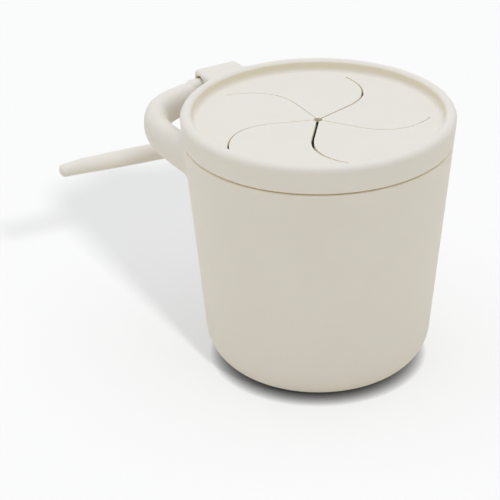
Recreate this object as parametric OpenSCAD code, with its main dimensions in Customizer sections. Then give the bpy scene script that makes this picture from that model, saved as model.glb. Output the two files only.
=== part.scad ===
// Toddler snack cup in soft silicone. A tapered cup takes a plug-in lid, and the lid's membrane is
// cut into five petals that a small hand pushes through. A carry strap is moulded to the cup, turns
// a finger-wide corner beside it, threads the loop on the lid and ends in a long thin tail.
// Millimetres. The origin is the centre of the base, on the surface that the cup stands on.
// +Z is up and -Y is the front.

/* [Overall] */
// Outer diameter at the top of the lid
mouth_d = 88; // [82:1:100]
// Outer diameter that the tapered wall would reach at the floor
foot_d = 71.6; // [66:0.2:78]
// Height from the floor to the top of the rim
total_h = 88; // [76:1:110]

/* [Cup] */
// Thickness of the cup's wall
wall = 3.2; // [2:0.1:4.2]
// Thickness of the cup's floor
floor_t = 3.6; // [2.5:0.1:6]
// Radius of the rounded edge round the base
corner_r = 13.3; // [8:0.1:18]
// Rounding of the thin edges at the parting line
lip_r = 0.5; // [0.2:0.1:0.8]

/* [Lid] */
// Height of the lid's ring above the parting line
lid_h = 9; // [8:0.2:14]
// Gap at the parting line
parting_gap = 0.3; // [0.2:0.05:0.5]
// Width of the rim, seen from above
rim_w = 4; // [3.4:0.1:5]
// Rounding of the rim's outer edge
rim_outer_r = 2.2; // [1:0.1:2.4]
// Rounding of the rim's inner edge
rim_inner_r = 1.1; // [0.5:0.1:1.1]
// Depth of the membrane below the top of the rim
recess = 3.7; // [2.5:0.1:5]
// Thickness of the membrane and its petals
membrane_t = 1.6; // [1.2:0.1:2]
// How far the plug reaches down into the cup
plug_depth = 5.5; // [3:0.1:7]
// Thickness of the plug's wall
plug_t = 2; // [1.4:0.1:2.6]
// Clearance between the plug and the cup at the mouth
plug_clear = 0.35; // [0.3:0.05:0.6]
// How much narrower the plug's radius is at its lower edge
plug_draft = 0.8; // [0.6:0.1:1.5]

/* [Petals] */
// Direction of the first slit at the centre, anticlockwise from +X
slit_az = 45.7; // [0:0.1:71.9]
// How far each slit swings round between its straight part and its tip, in degrees
slit_sweep = 27; // [10:1:32]
// Radius out to which each slit runs straight
slit_straight_r = 14; // [8:0.5:18]
// Distance from the slits' tips to the recess wall
slit_margin = 4.5; // [3.5:0.1:8]
// Width of the slits
slit_w = 0.45; // [0.4:0.05:0.8]
// Radius of the hole where the slits meet
centre_hole_r = 1.4; // [0.5:0.1:2]
// Clearance round each petal's bending edge
bend_clear = 0.2; // [0.15:0.05:0.3]
// Length of the thin corner by each slit's tip that stays with the fixed part
bend_trim = 9; // [7:0.5:12]

/* [Lid loop] */
// Direction of the loop's face from the cup's axis, anticlockwise from +X
loop_az = 120; // [100:1:150]
// How far the middle of the loop lies to the strap's side of that direction
loop_shift = 8.8; // [0:0.2:11]
// Length of the loop along the strap
loop_len = 15.2; // [12:0.2:18]
// How far the loop stands out from the rim
loop_out = 6.5; // [6.5:0.1:8]
// Step from the top of the rim down to the top of the loop
loop_step = 0.4; // [0.1:0.1:1]
// Radius of the hole through the loop
loop_bore_r = 2.7; // [2.4:0.05:2.9]
// Wall of the loop round its hole
loop_wall = 1.3; // [1.2:0.1:1.5]
// Rounding of the loop's long edges
loop_edge_r = 2.5; // [0.5:0.1:2.6]
// Rounding of the loop's upright corners
loop_corner_r = 3; // [1:0.1:3.5]

/* [Strap] */
// Clearance between the strap's neck and the hole that it threads
neck_clear = 0.25; // [0.15:0.05:0.4]
// Clearance between the strap's shoulders and the ends of the loop
shoulder_clear = 0.4; // [0.3:0.05:1]
// Thickness of the strap
strap_t = 5.1; // [4:0.1:5.4]
// Height of the strap at its side run
strap_h = 11; // [9:0.1:12.5]
// Rounding of the strap's long edges
strap_edge_r = 2.2; // [0.8:0.1:2.4]
// Angle round the cup from the direction of the loop's face to the strap's root
root_turn = 55; // [48:1:62]
// Drop from the hole's centre to the middle of the strap's root
root_drop = 11.9; // [10:0.1:18]
// How far the strap's side run stands beyond its root
strap_bulge = 3.9; // [2:0.1:8]
// How far the tail reaches beyond the strap's side run
tail_reach = 26.8; // [10:0.2:40]
// How far below the hole the tail runs
tail_drop = 23.4; // [20:0.2:34]
// Height of the tail
tail_h = 5.8; // [4:0.1:7]
// Thickness of the tail
tail_t = 3.6; // [2.5:0.1:4]

/* [Hidden] */
$fn = 96;

silicone = [0.87, 0.855, 0.82];
silicone_shade = [0.82, 0.805, 0.765];
silicone_pale = [0.9, 0.895, 0.875];

// Steps along each quarter turn or bend of an outline
arc_steps = 12;
// Steps along each slit
slit_steps = 24;
// Rings between two neighbouring stations of the strap
ring_steps = 4;
// Steps along each rounded corner of the strap's section
corner_steps = 3;
// Length by which a cutting shape passes the surface that it cuts
past = 1;
// Step between a petal's faces and the rod along its bending edge
bend_step = 0.05;
petals = 5;
petal_pitch = 360 / petals;

mouth_r = mouth_d / 2;
taper = atan((mouth_d - foot_d) / 2 / total_h);
cup_h = total_h - lid_h - parting_gap;
lid_z = total_h - lid_h;
recess_r = mouth_r - rim_w;
membrane_z = total_h - recess - membrane_t;
slit_tip_r = recess_r - slit_margin;

// Radius of the outer wall, one cone shared by the cup and the lid, at height z
function wall_r(z) = foot_d / 2 + z * tan(taper);
// Radius of the cup's inner wall at height z
function inner_r(z) = wall_r(z) - wall / cos(taper);
// Points of an arc about c from angle a to angle b
function arc(c, r, a, b) =
    [for (i = [0:arc_steps]) c + r * [cos(a + (b - a) * i / arc_steps), sin(a + (b - a) * i / arc_steps)]];
// Centre of an arc of radius r that is tangent to a cone of radius cone_r at height z
function tangent_centre(cone_r, z, r) = [cone_r - r / cos(taper), z];

function plug_r() = inner_r(cup_h) - plug_clear;

// Half section of the cup: floor, rounded base edge, tapered wall and softened mouth
cup_profile = concat(
    [[0, 0]],
    arc(tangent_centre(wall_r(corner_r), corner_r, corner_r), corner_r, -90, -taper),
    arc(tangent_centre(wall_r(cup_h - lip_r), cup_h - lip_r, lip_r), lip_r, -taper, 90),
    [[inner_r(cup_h) + lip_r, cup_h], [inner_r(cup_h - lip_r), cup_h - lip_r]],
    arc(tangent_centre(inner_r(corner_r), corner_r, corner_r - floor_t), corner_r - floor_t, -taper, -90),
    [[0, floor_t]]);

// Half section of the lid's ring with its plug and the ledge that carries the membrane
ring_profile = concat(
    [[plug_r(), lid_z]],
    arc(tangent_centre(wall_r(lid_z + lip_r), lid_z + lip_r, lip_r), lip_r, -90, -taper),
    arc(tangent_centre(wall_r(total_h - rim_outer_r), total_h - rim_outer_r, rim_outer_r),
        rim_outer_r, -taper, 90),
    arc([recess_r + rim_inner_r, total_h - rim_inner_r], rim_inner_r, 90, 180),
    [[recess_r, membrane_z],
     [plug_r() - plug_t, membrane_z],
     [plug_r() - plug_t - plug_draft, lid_z - plug_depth],
     [plug_r() - plug_draft - lip_r, lid_z - plug_depth],
     [plug_r() - plug_draft, lid_z - plug_depth + lip_r]]);

// Solid of everything inside the lid's outer surface
lid_envelope = concat(
    [[0, lid_z - past], [wall_r(lid_z - past), lid_z - past]],
    arc(tangent_centre(wall_r(total_h - rim_outer_r), total_h - rim_outer_r, rim_outer_r),
        rim_outer_r, -taper, 90),
    [[0, total_h]]);

module cup_body() color(silicone) rotate_extrude() polygon(cup_profile);

module lid_ring() color(silicone) rotate_extrude() polygon(ring_profile);

// The petals. Slit i leaves the centre at slit_az + petal_pitch * (i - 1), and a petal lies between
// its own slit and the next. Its local frame has its own slit's straight part along +X.

// Angle by which a slit has swung at radius r
function slit_swing(r) =
    slit_sweep * pow(max(0, r - slit_straight_r) / (slit_tip_r - slit_straight_r), 2);
// Angle of a slit's tangent at radius r
function slit_heading(r) =
    let (rate = 2 * slit_sweep * max(0, r - slit_straight_r) / pow(slit_tip_r - slit_straight_r, 2))
    slit_swing(r) + atan(r * rate * PI / 180);
// Point of a slit's edge at radius r, moved sideways by d, positive anticlockwise
function slit_edge(r, d) =
    r * [cos(slit_swing(r)), sin(slit_swing(r))] + d * [-sin(slit_heading(r)), cos(slit_heading(r))];
function turned(p, a) = [p[0] * cos(a) - p[1] * sin(a), p[0] * sin(a) + p[1] * cos(a)];

// Direction from the axis to the middle of a petal's bending edge, and that edge's distance
bend_az = slit_sweep + petal_pitch / 2;
bend_d = slit_tip_r * cos(petal_pitch / 2);
bend_from = -slit_tip_r * sin(petal_pitch / 2);
bend_to = slit_tip_r * sin(petal_pitch / 2) - bend_trim;
bend_z = membrane_z + membrane_t / 2;
// Radius of the rod along a petal's bending edge, just inside the petal's two faces
bend_r = membrane_t / 2 - bend_step;

// Radii of the points along a slit, from where two edges that are moved by d meet
function slit_radii(d) =
    let (first = abs(d) / tan(petal_pitch / 2))
    [for (i = [0:slit_steps]) first + (slit_tip_r - first) * i / slit_steps];

// Outline between two slits, with both edges moved into the petal by d
module petal_plan(d) {
    radii = slit_radii(d);
    tip_a = turned([slit_tip_r + slit_margin, 0], slit_sweep);
    intersection() {
        polygon(concat(
            d > 0 ? [] : [[0, 0]],
            [for (r = radii) slit_edge(r, d)],
            [tip_a, turned(tip_a, petal_pitch)],
            [for (i = [slit_steps:-1:0]) turned(slit_edge(radii[i], -d), petal_pitch)]));
        rotate(bend_az)
            translate([-slit_tip_r, bend_from - past])
                square([slit_tip_r + bend_d, bend_to - bend_from + past + (d > 0 ? 0 : bend_clear)]);
    }
}

// Rod along a petal's bending edge, with clear added at its ends
module bend_rod(r, clear)
    rotate(bend_az)
        translate([bend_d, (bend_from + bend_to) / 2, bend_z])
            rotate([90, 0, 0])
                cylinder(r = r, h = bend_to - bend_from - 2 * bend_clear + 2 * clear, center = true, $fn = 32);

module petal(i) color(i % 2 == 0 ? silicone_pale : silicone)
    rotate(slit_az + petal_pitch * (i - 1))
        difference() {
            union() {
                translate([0, 0, membrane_z]) linear_extrude(membrane_t) petal_plan(slit_w / 2);
                bend_rod(bend_r, 0);
            }
            translate([0, 0, membrane_z - past])
                cylinder(r = centre_hole_r, h = membrane_t + 2 * past, $fn = 32);
        }

module lid_membrane() color(silicone_pale)
    difference() {
        translate([0, 0, membrane_z]) cylinder(r = recess_r, h = membrane_t);
        for (i = [1:petals])
            rotate(slit_az + petal_pitch * (i - 1)) {
                translate([0, 0, membrane_z - past])
                    linear_extrude(membrane_t + 2 * past) petal_plan(-slit_w / 2);
                bend_rod(membrane_t / 2 + bend_clear, bend_clear);
            }
    }

// The loop and the strap are drawn in a frame turned to loop_az: +X points out from the cup and
// +Y runs anticlockwise round it, so the strap lies at +Y and the tail leaves at -Y.
bore_x = mouth_r + loop_out - loop_wall - loop_bore_r;
bore_z = total_h - loop_step - loop_wall - loop_bore_r;
neck_r = loop_bore_r - neck_clear;
shoulder = loop_len / 2 + shoulder_clear;
// Where the strap's shoulders stand beside the loop
near_mouth = loop_shift + shoulder;
far_mouth = loop_shift - shoulder;

// Points of a rectangle's outline with rounded corners, lowest corner at a and highest at b
function rounded(a, b, r) = concat(
    arc([b[0] - r, b[1] - r], r, 0, 90), arc([a[0] + r, b[1] - r], r, 90, 180),
    arc([a[0] + r, a[1] + r], r, 180, 270), arc([b[0] - r, a[1] + r], r, 270, 360));

// Rod along the hole's centre line, centred on the loop
module bore_rod(r, length)
    translate([bore_x, loop_shift, bore_z])
        rotate([90, 0, 0])
            cylinder(r = r, h = length, center = true);

module lid_loop() color(silicone_shade)
    rotate(loop_az)
        difference() {
            translate([0, loop_shift, 0])
                intersection() {
                    rotate([90, 0, 0])
                        linear_extrude(loop_len, center = true)
                            polygon(rounded([mouth_r - 2 * rim_w, bore_z - loop_bore_r - loop_wall],
                                            [mouth_r + loop_out, total_h - loop_step], loop_edge_r));
                    translate([0, 0, lid_z - past])
                        linear_extrude(lid_h + 2 * past)
                            polygon(rounded([mouth_r - 4 * rim_w, -loop_len / 2],
                                            [mouth_r + loop_out, loop_len / 2], loop_corner_r));
                }
            bore_rod(loop_bore_r, loop_len + 2 * past);
            rotate_extrude() polygon(lid_envelope);
        }

module strap_neck() color(silicone)
    rotate(loop_az) bore_rod(neck_r, 2 * shoulder);

// The strap's root on the cup's wall and the length of its run from the side to the loop
root = wall_r(bore_z - root_drop) * [cos(root_turn), sin(root_turn)] - [bore_x, 0];
side = root[1] + strap_bulge;
run = side - near_mouth;

// Stations along the strap: [out, along, drop, height, thickness], from inside the cup's wall to
// the shoulder at the loop. Out and along are counted from the hole's centre line and the
// direction of the loop's face, and drop below the hole's centre.
strap_stations = [
    [root[0] - 4, root[1] - 2, root_drop + 0.8, strap_h + 3.4, strap_t + 2],
    [root[0], root[1], root_drop + 0.2, strap_h + 1.8, strap_t + 0.8],
    [0.8 * root[0], side - 2.5, 0.95 * root_drop, strap_h + 0.7, strap_t + 0.1],
    [0.56 * root[0], side - 0.6, 0.8 * root_drop, strap_h + 0.3, strap_t],
    [0.31 * root[0], side - 0.1, 0.65 * root_drop, strap_h - 0.2, strap_t],
    [0.12 * root[0], side - 2.4, 0.52 * root_drop, strap_h - 0.1, strap_t],
    [-1.4, near_mouth + 0.69 * run, 0.42 * root_drop, strap_h + 0.2, strap_t],
    [-0.9, near_mouth + 0.36 * run, 0.3 * root_drop, strap_h - 0.6, strap_t],
    [-0.4, near_mouth + 0.18 * run, 0.17 * root_drop, strap_h - 2.6, strap_t],
    [0, near_mouth + 1.8, 0.25, 2 * neck_r + 1.2, 2 * neck_r],
    [0, near_mouth, 0, 2 * neck_r, 2 * neck_r]];

// Stations along the tail, from the far shoulder round behind the cup to the tip
tail_stations = [
    [0, far_mouth, 0, 2 * neck_r, 2 * neck_r],
    [0.5, far_mouth - 3.8, 1.6, tail_h - 0.7, tail_t + 0.7],
    [1.4, far_mouth - 8.5, 5.6, tail_h - 0.4, tail_t + 0.2],
    [2.6, far_mouth - 11.2, 11.5, tail_h, tail_t],
    [3.6, far_mouth - 8.8, tail_drop - 5.6, tail_h, tail_t],
    [4.4, far_mouth - 2, tail_drop - 1.1, tail_h, tail_t],
    [5, far_mouth + 6, tail_drop + 0.5, tail_h, tail_t],
    [5.6, near_mouth + 1, tail_drop + 0.8, tail_h, tail_t],
    [6, near_mouth + 0.6 * run, tail_drop + 0.3, tail_h, tail_t],
    [6.7, side + 0.25 * tail_reach, tail_drop - 0.5, tail_h, tail_t],
    [7.8, side + 0.68 * tail_reach, tail_drop - 0.8, tail_h - 0.5, tail_t - 0.2],
    [8.5, side + 0.94 * tail_reach, tail_drop - 0.6, tail_h - 1.4, tail_t - 0.6],
    [8.7, side + tail_reach, tail_drop - 0.5, tail_h - 3.4, tail_t - 2]];

// Value at u, 0 to 1, on the smooth curve from q to r, between p before and s after
function spline(p, q, r, s, u) =
    0.5 * (2 * q + (r - p) * u + (2 * p - 5 * q + 4 * r - s) * u * u + (3 * q - p - 3 * r + s) * u * u * u);
// All stations with ring_steps rings for each stretch
function stations_between(st) = concat(
    [for (i = [0:len(st) - 2], j = [0:ring_steps - 1])
        spline(i == 0 ? 2 * st[0] - st[1] : st[i - 1], st[i], st[i + 1],
               i + 2 < len(st) ? st[i + 2] : 2 * st[i + 1] - st[i], j / ring_steps)],
    [st[len(st) - 1]]);
function place(s) = [bore_x + s[0], s[1], bore_z - s[2]];
function unit(v) = v / norm(v);

// Section of the strap at h high and t thick, in the plane of its side and up directions
function strap_section(h, t) =
    let (r = min(strap_edge_r, t / 2, h / 2))
    [for (k = [0:3], j = [0:corner_steps])
        let (a = 90 * k + 90 * j / corner_steps, sx = k == 0 || k == 3 ? 1 : -1, sy = k < 2 ? 1 : -1)
        [sx * (t / 2 - r) + r * cos(a), sy * (h / 2 - r) + r * sin(a)]];

// Tube through the stations. Its ends are square to end_dir at the loop
module swept(st, hint, first_dir, last_dir) {
    rings = stations_between(st);
    n = len(rings);
    sides = 4 * (corner_steps + 1);
    points = [for (i = [0:n - 1])
        let (q = place(rings[i]),
             ahead = unit(place(rings[min(i + 1, n - 1)]) - place(rings[max(i - 1, 0)])),
             dir = i == 0 && first_dir ? [0, -1, 0] : i == n - 1 && last_dir ? [0, -1, 0] : ahead,
             side = hint[2] == 1 ? unit(cross(dir, hint)) : unit(hint - (hint * dir) * dir),
             up = cross(side, dir))
        for (c = strap_section(rings[i][3], rings[i][4])) q + c[0] * side + c[1] * up];
    polyhedron(points, concat(
        [[for (k = [0:sides - 1]) k]],
        [for (i = [0:n - 2], k = [0:sides - 1])
            let (a = i * sides + k, b = i * sides + (k + 1) % sides)
            each [[a, a + sides, b], [b, a + sides, b + sides]]],
        [[for (k = [sides - 1:-1:0]) (n - 1) * sides + k]]), convexity = 6);
}

module carry_strap() color(silicone_shade)
    difference() {
        rotate(loop_az) swept(strap_stations, [0, 0, 1], false, true);
        cylinder(r1 = foot_d / 2, r2 = mouth_r, h = total_h);
    }

module strap_tail() color(silicone_shade)
    rotate(loop_az) swept(tail_stations, [1, 0, 0], true, false);

cup_body();
carry_strap();
strap_neck();
strap_tail();
lid_ring();
lid_loop();
lid_membrane();
petal(1);  // flap_1
petal(2);  // flap_2
petal(3);  // flap_3
petal(4);  // flap_4
petal(5);  // flap_5
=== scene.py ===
"""Toddler snack cup in matte silicone: a tapered cup, a plug-in lid cut into five petals, and a carry strap that
threads the lid's loop and ends in a long tail. Sizes are in millimetres and angles in degrees, unless a comment
says otherwise."""

from __future__ import annotations

import logging
import math
from dataclasses import dataclass, field
from enum import Enum
from itertools import product

import bpy
import numpy as np
from mathutils import Matrix, Vector

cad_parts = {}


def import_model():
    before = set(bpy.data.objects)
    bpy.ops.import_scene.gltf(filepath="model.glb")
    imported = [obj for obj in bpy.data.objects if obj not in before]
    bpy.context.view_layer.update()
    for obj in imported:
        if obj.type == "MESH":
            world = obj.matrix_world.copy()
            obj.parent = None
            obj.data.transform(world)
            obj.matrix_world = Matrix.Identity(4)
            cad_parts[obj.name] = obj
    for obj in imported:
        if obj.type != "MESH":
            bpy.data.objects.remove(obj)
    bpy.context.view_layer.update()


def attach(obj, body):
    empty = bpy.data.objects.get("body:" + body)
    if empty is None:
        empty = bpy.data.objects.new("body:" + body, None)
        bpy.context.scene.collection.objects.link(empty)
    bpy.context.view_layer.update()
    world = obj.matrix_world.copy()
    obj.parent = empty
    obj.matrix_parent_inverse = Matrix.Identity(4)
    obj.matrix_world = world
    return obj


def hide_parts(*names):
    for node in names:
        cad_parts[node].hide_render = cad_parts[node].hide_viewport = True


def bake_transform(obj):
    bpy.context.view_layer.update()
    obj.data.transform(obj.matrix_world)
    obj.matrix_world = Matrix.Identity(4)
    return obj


LOG = logging.getLogger("snack_cup")
MM = 0.001
# Points closer than this, in metres, are one point
WELD = 1e-6
# A fold of more than this, in radians, about 60 degrees, stays a sharp edge
SHARP_FOLD = 1.05
Point = tuple[float, float]
Place = tuple[float, float, float]


class Body(Enum):
    """The moving bodies that the cup's pieces belong to."""

    CUP = "cup"
    LID = "lid"


class Slot(Enum):
    """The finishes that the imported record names."""

    CUP = "cup_silicone"
    STRAP = "strap_silicone"
    LID = "lid_silicone"
    PETALS = "membrane_silicone"


def linear(hex_colour: str) -> tuple[float, float, float, float]:
    """Turns an sRGB hex colour into the linear colour that Blender's sockets take.

    Args:
        hex_colour: Six hex digits with a leading hash sign.

    Returns:
        Linear red, green, blue and an alpha of 1.
    """
    parts = [int(hex_colour[i : i + 2], 16) / 255 for i in (1, 3, 5)]
    light = [c / 12.92 if c <= 0.04045 else ((c + 0.055) / 1.055) ** 2.4 for c in parts]
    return (light[0], light[1], light[2], 1.0)


def add_node(tree: bpy.types.NodeTree, kind: str, inputs: dict | None = None, **settings: object) -> bpy.types.Node:
    """Adds one node, with its settings, values and links.

    Args:
        tree: The material's or geometry's tree.
        kind: The node's type name.
        inputs: Socket name or number to a value, or to the output socket that feeds it.
        **settings: The node's own properties.

    Returns:
        The new node.
    """
    node = tree.nodes.new(kind)
    for name, value in settings.items():
        setattr(node, name, value)
    for key, value in (inputs or {}).items():
        if isinstance(value, bpy.types.NodeSocket):
            tree.links.new(value, node.inputs[key])
        else:
            node.inputs[key].default_value = value
    return node


def hang(name: str, data: bpy.types.ID) -> bpy.types.Object:
    """Makes an object and links it to the scene.

    Args:
        name: The object's name.
        data: Its mesh, lamp or camera.

    Returns:
        The object, at the origin.
    """
    made = bpy.data.objects.new(name, data)
    bpy.context.scene.collection.objects.link(made)
    return made


def mesh_object(name: str, points: np.ndarray, edges: list, faces: list) -> bpy.types.Object:
    """Makes a linked mesh object at the origin.

    Args:
        name: The object's name.
        points: Points in millimetres, one row each.
        edges: Pairs of point numbers.
        faces: Lists of point numbers.

    Returns:
        The object, with its mesh in metres.
    """
    mesh = bpy.data.meshes.new(name)
    mesh.from_pydata((np.asarray(points, float) * MM).tolist(), edges, faces)
    return hang(name, mesh)


def bare_material(name: str) -> bpy.types.Material:
    """Makes a material with an empty tree.

    Args:
        name: The material's name.

    Returns:
        The material.
    """
    made = bpy.data.materials.new(name)
    made.use_nodes = True
    made.node_tree.nodes.clear()
    return made


def attribute(thing: bpy.types.Object, name: str, kind: str, values: np.ndarray) -> None:
    """Stores one value for each point of a mesh, as a number or a vector."""
    layer = thing.data.attributes.new(name, kind, "POINT")
    layer.data.foreach_set("vector" if kind == "FLOAT_VECTOR" else "value", np.asarray(values, np.float32).ravel())


def grow(thing: bpy.types.Object, tree: bpy.types.NodeTree, values: dict[str, object]) -> None:
    """Puts a geometry tree on an object and sets the tree's named inputs.

    Args:
        thing: The object whose mesh the tree starts from.
        tree: The geometry tree.
        values: The name of each input and its value.
    """
    modifier = thing.modifiers.new(tree.name, "NODES")
    modifier.node_group = tree
    for item in tree.interface.items_tree:
        if item.item_type == "SOCKET" and item.in_out == "INPUT" and item.name in values:
            modifier[item.identifier] = values[item.name]


def realise(thing: bpy.types.Object) -> bpy.types.Object:
    """Turns an object's live modifiers into its plain mesh, with its faces pointing outwards.

    Args:
        thing: The object with live modifiers.

    Returns:
        The same object, with no modifier left.
    """
    graph = bpy.context.evaluated_depsgraph_get()
    mesh = bpy.data.meshes.new_from_object(thing.evaluated_get(graph), preserve_all_data_layers=True, depsgraph=graph)
    thing.modifiers.clear()
    mesh.name = thing.name
    thing.data = mesh
    points = np.empty(len(mesh.vertices) * 3)
    mesh.vertices.foreach_get("co", points)
    mesh.calc_loop_triangles()
    corners = np.empty(len(mesh.loop_triangles) * 3, int)
    mesh.loop_triangles.foreach_get("vertices", corners)
    a, b, c = (points.reshape(-1, 3)[corners.reshape(-1, 3)[:, k]] for k in range(3))
    volume = float(np.einsum("ij,ij->", a, np.cross(b, c))) / 6
    if volume < 0:
        mesh.flip_normals()
    LOG.info("%s: %d triangles, %.2f cm3", thing.name, len(mesh.loop_triangles), abs(volume) * 1e6)
    return thing


def arc(centre: Point, radius: float, start: float, stop: float, steps: int = 14) -> list[Point]:
    """Points of an arc in a section.

    Args:
        centre: The arc's centre.
        radius: Its radius.
        start: The angle of its first point, in degrees.
        stop: The angle of its last point, in degrees.
        steps: The number of steps along it.

    Returns:
        The arc's points, both ends included.
    """
    angles = np.radians(np.linspace(start, stop, steps + 1))
    return [(centre[0] + radius * math.cos(a), centre[1] + radius * math.sin(a)) for a in angles]


def refine(section: list[Point], longest: float = 4.0, margin: float = 0.35) -> np.ndarray:
    """Cuts a section's long straights, with a short cut at each end that keeps the bend's shading in the bend.

    Args:
        section: The section's points in order.
        longest: The longest piece that stays whole.
        margin: The length of the short cut beside a bend.

    Returns:
        The section's points, one row each.
    """
    made: list[np.ndarray] = []
    for p, q in zip(np.array(section[:-1], float), np.array(section[1:], float)):
        length = float(np.linalg.norm(q - p))
        if length < 1e-6:
            continue
        shares = [0.0]
        if length > 3 * margin:
            inner = max(1, math.ceil((length - 2 * margin) / longest))
            shares += list(np.linspace(margin / length, 1 - margin / length, inner + 1))
        made += [p + (q - p) * s for s in shares]
    made.append(np.array(section[-1], float))
    return np.array(made)


@dataclass(frozen=True)
class OuterCone:
    """The one tapered surface that the cup's wall and the lid's rim share."""

    foot_r: float = 35.8
    mouth_r: float = 44.0
    height: float = 88.0

    @property
    def slope(self) -> float:
        """Growth of the radius for each millimetre of height."""
        return (self.mouth_r - self.foot_r) / self.height

    @property
    def taper(self) -> float:
        """Angle between the wall and the upright, in degrees."""
        return math.degrees(math.atan(self.slope))

    def radius(self, z: float) -> float:
        """Radius of the wall at height z."""
        return self.foot_r + self.slope * z

    def inside(self, z: float, wall: float) -> float:
        """Radius at height z of a surface that lies a wall's thickness inside the cone."""
        return self.radius(z) - wall / math.cos(math.radians(self.taper))

    def gap(self, x: np.ndarray, y: np.ndarray, z: np.ndarray) -> np.ndarray:
        """Distance of points from the cone, negative inside it."""
        return (np.hypot(x, y) - self.foot_r - self.slope * z) * math.cos(math.radians(self.taper))

    def rounding(self, z: float, r: float, start: float, stop: float, steps: int, wall: float = 0.0) -> list[Point]:
        """Rounds a corner of a section with an arc that touches the cone.

        Args:
            z: The height at which the arc touches.
            r: The arc's radius.
            start: The angle of its first point, in degrees.
            stop: The angle of its last point, in degrees.
            steps: The number of steps along it.
            wall: How far inside the cone the surface lies that the arc touches.

        Returns:
            The arc's points, both ends included.
        """
        return arc((self.inside(z, wall) - r / math.cos(math.radians(self.taper)), z), r, start, stop, steps)


@dataclass(frozen=True)
class MouldedSilicone:
    """Liquid silicone rubber, pigmented all through and moulded in a blasted steel tool, so it is matte and even.

    The tool's blasting leaves a pebble of about 0.1 mm, drawn three times as coarse so that it shows. Handling leaves
    slightly warmer clouds about 17 mm across. Light gets a little way in. The warmer look of corners and of the slits'
    walls is painted light: a warm tint painted in corners for light bouncing there, and a paler, warmer tint painted
    on the slits' walls for light coming through the skin.
    """

    name: str
    colour: str = "#E6E2D9"
    handled: str = "#E5E1D7"
    # Painted light: a paler, warmer glow painted on the slits' walls
    cut: str = "#FFF6E2"
    # Painted light: a warm tint painted in corners, for light bouncing there
    painted_corner_bounce: str = "#EBE2CB"
    # The pebble's grain and height, and the clouds' size
    pebble: float = 0.3
    relief: float = 0.012
    cloud: float = 17.0
    roughness: tuple[float, float] = (0.56, 0.68)
    # Silicone rubber bends light a little less than most plastics
    ior: float = 1.41

    def material(self) -> bpy.types.Material:
        """Builds the finish.

        Returns:
            The material.
        """
        made = bare_material(self.name)
        tree = made.node_tree
        place = add_node(tree, "ShaderNodeTexCoord").outputs["Object"]
        # The pattern repeats about once for each noise cell, so the scale is one over the cell's size in metres
        clouds = add_node(
            tree,
            "ShaderNodeTexNoise",
            {"Vector": place, "Scale": 1 / (self.cloud * MM), "Detail": 3.0, "Roughness": 0.55},
        ).outputs["Fac"]
        tone = add_node(
            tree,
            "ShaderNodeMapRange",
            {"Value": clouds, "From Min": 0.35, "From Max": 0.7},
            interpolation_type="SMOOTHSTEP",
        ).outputs["Result"]
        # Painted light: corners get a painted warm tint that stands in for light bouncing more than once from the
        # skin, and a cut's wall a painted paler, warmer tint that stands in for light coming through the skin beside
        # it
        deep, cut = (
            add_node(tree, "ShaderNodeAttribute", attribute_name=name).outputs["Fac"] for name in ("painted_corner_bounce", "cut")
        )
        colour: object = linear(self.colour)
        for share, over in ((tone, self.handled), (deep, self.painted_corner_bounce), (cut, self.cut)):
            mixed = {"Factor": share, 6: colour, 7: linear(over)}
            colour = add_node(tree, "ShaderNodeMix", mixed, data_type="RGBA").outputs[2]
        pebble = add_node(
            tree,
            "ShaderNodeTexNoise",
            {"Vector": place, "Scale": 1 / (self.pebble * MM), "Detail": 2.0, "Roughness": 0.6},
        ).outputs["Fac"]
        smoothest, roughest = self.roughness
        rough = add_node(
            tree,
            "ShaderNodeMapRange",
            {"Value": pebble, "From Min": 0.3, "From Max": 0.7, "To Min": smoothest, "To Max": roughest},
        ).outputs["Result"]
        relief = add_node(
            tree, "ShaderNodeBump", {"Height": pebble, "Strength": 0.35, "Distance": self.relief * MM}
        ).outputs["Normal"]
        skin = add_node(
            tree,
            "ShaderNodeBsdfPrincipled",
            {
                "Base Color": colour,
                "Roughness": rough,
                "IOR": self.ior,
                "Subsurface Weight": 0.04,
                "Subsurface Radius": (1.0, 0.75, 0.5),
                "Subsurface Scale": 0.0012,
                "Sheen Weight": 0.04,
                "Sheen Roughness": 0.5,
                "Normal": relief,
            },
        )
        add_node(tree, "ShaderNodeOutputMaterial", {"Surface": skin.outputs["BSDF"]})
        return made


def shaded(tree: bpy.types.NodeTree, mesh: bpy.types.NodeSocket) -> bpy.types.NodeSocket:
    """Shades a mesh smooth, apart from its sharp folds.

    Args:
        tree: The geometry tree.
        mesh: The socket that gives the mesh.

    Returns:
        The socket that gives the shaded mesh.
    """
    shade = "GeometryNodeSetShadeSmooth"
    smooth = add_node(tree, shade, {0: mesh, "Shade Smooth": True}, domain="FACE").outputs[0]
    fold = add_node(tree, "GeometryNodeInputMeshEdgeAngle").outputs["Unsigned Angle"]
    sharp = add_node(
        tree, "FunctionNodeCompare", {"A": fold, "B": SHARP_FOLD}, data_type="FLOAT", operation="GREATER_THAN"
    ).outputs[0]
    folds = {0: smooth, "Selection": sharp, "Shade Smooth": False}
    return add_node(tree, shade, folds, domain="EDGE").outputs[0]


def start_tree(name: str, inputs: dict[str, str]) -> tuple[bpy.types.NodeTree, bpy.types.bpy_prop_collection]:
    """Starts a geometry tree, with Geometry as its first input and Finish as its last.

    Args:
        name: The tree's name.
        inputs: The names of the inputs between those two, and their kinds.

    Returns:
        The tree, and the sockets that give its inputs.
    """
    tree = bpy.data.node_groups.new(name, "GeometryNodeTree")
    for label, kind in {"Geometry": "Geometry", **inputs, "Finish": "Material"}.items():
        tree.interface.new_socket(label, in_out="INPUT", socket_type=f"NodeSocket{kind}")
    tree.interface.new_socket("Geometry", in_out="OUTPUT", socket_type="NodeSocketGeometry")
    return tree, add_node(tree, "NodeGroupInput").outputs


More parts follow.
